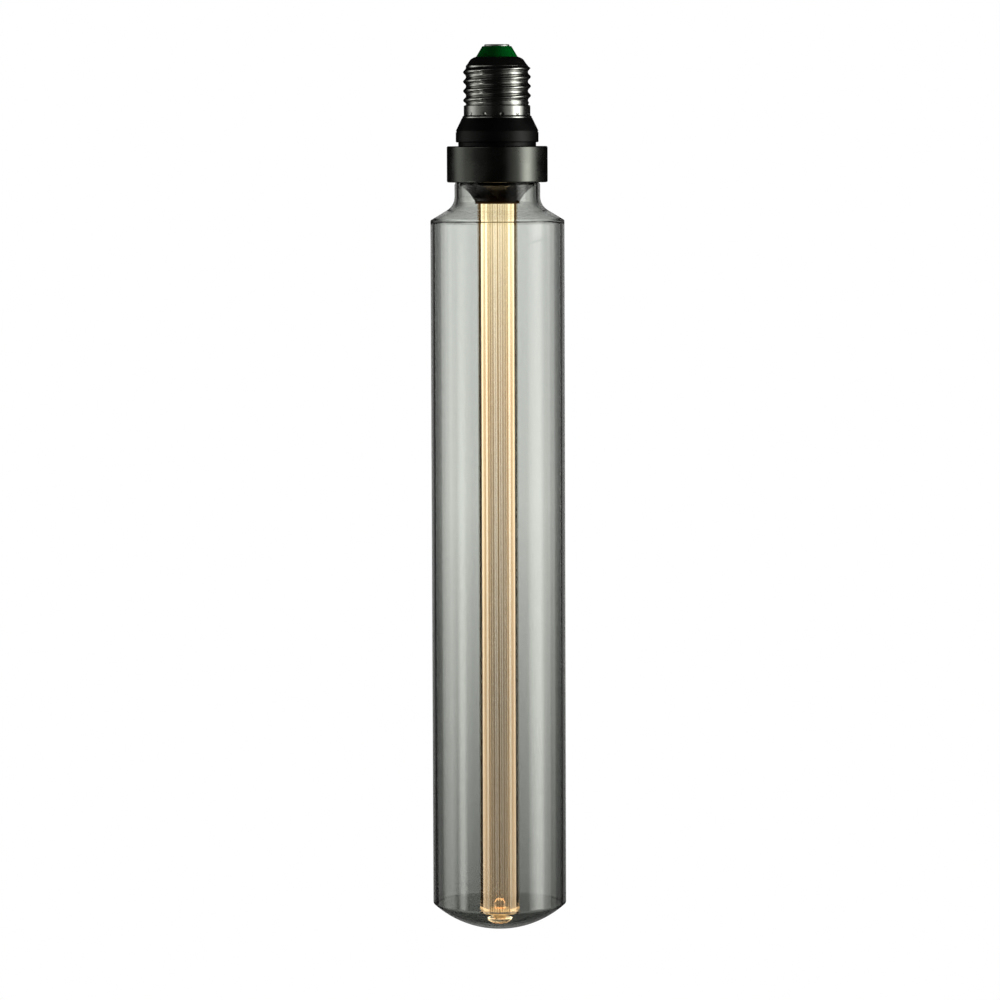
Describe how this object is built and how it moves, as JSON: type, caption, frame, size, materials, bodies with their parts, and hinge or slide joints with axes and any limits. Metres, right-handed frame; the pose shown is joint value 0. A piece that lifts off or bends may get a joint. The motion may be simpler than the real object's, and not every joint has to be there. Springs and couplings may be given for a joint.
{
  "type": "tubular light bulb",
  "caption": "Long tubular LED lamp with a screw cap: a smoked glass tube with a shallow dome holds a clear, striped light guide under a wide dark collar.",
  "frame": {"origin": "centre of the centre contact's outer face, on the lamp's axis", "axes": "+Z along the lamp's axis, out of the screw cap; the glass tube hangs towards -Z; +X is to the right in the picture's view, which looks along +Y"},
  "size_m": [0.052, 0.052, 0.345],
  "materials": {
    "contact_metal": "satin",
    "insulator_green": "gloss",
    "shell_black_nickel": "polished",
    "housing_black": "matt",
    "collar_anodised": "satin, dark anodised",
    "bond_silicone": "matt",
    "smoked_glass": "clear, smoked",
    "holder_black": "gloss",
    "guide_resin": "clear, lit warm white",
    "pad_grey": "matt",
    "board_white": "satin",
    "chip_phosphor": "matt",
    "screw_steel": "brushed",
    "board_green": "satin",
    "capacitor_sleeve": "gloss",
    "film_box": "satin",
    "ferrite": "matt",
    "copper": "enamelled",
    "chip_black": "matt",
    "resistor_body": "matt",
    "lead_red": "matt",
    "lead_black": "matt",
    "wire_bare": "bare"
  },
  "bodies": {
    "root": {"centre_contact": "contact_metal", "insulator": "insulator_green", "screw_shell": "shell_black_nickel", "driver_housing": "housing_black", "collar": "collar_anodised", "glass_bond": "bond_silicone", "glass_envelope": "smoked_glass", "guide_holder": "holder_black", "light_guide": "guide_resin", "guide_plug": "guide_resin", "thermal_pad": "pad_grey", "chip_board": "board_white", "light_chips": "chip_phosphor", "fixing_screws": "screw_steel", "driver_board": "board_green", "reservoir_capacitor": "capacitor_sleeve", "input_capacitor": "film_box", "choke_core": "ferrite", "choke_winding": "copper", "rectifier": "chip_black", "driver_chip": "chip_black", "fusible_resistor": "resistor_body", "live_lead": "lead_red", "neutral_lead": "wire_bare", "chip_lead_plus": "lead_red", "chip_lead_minus": "lead_black"}
  },
  "joints": []
}
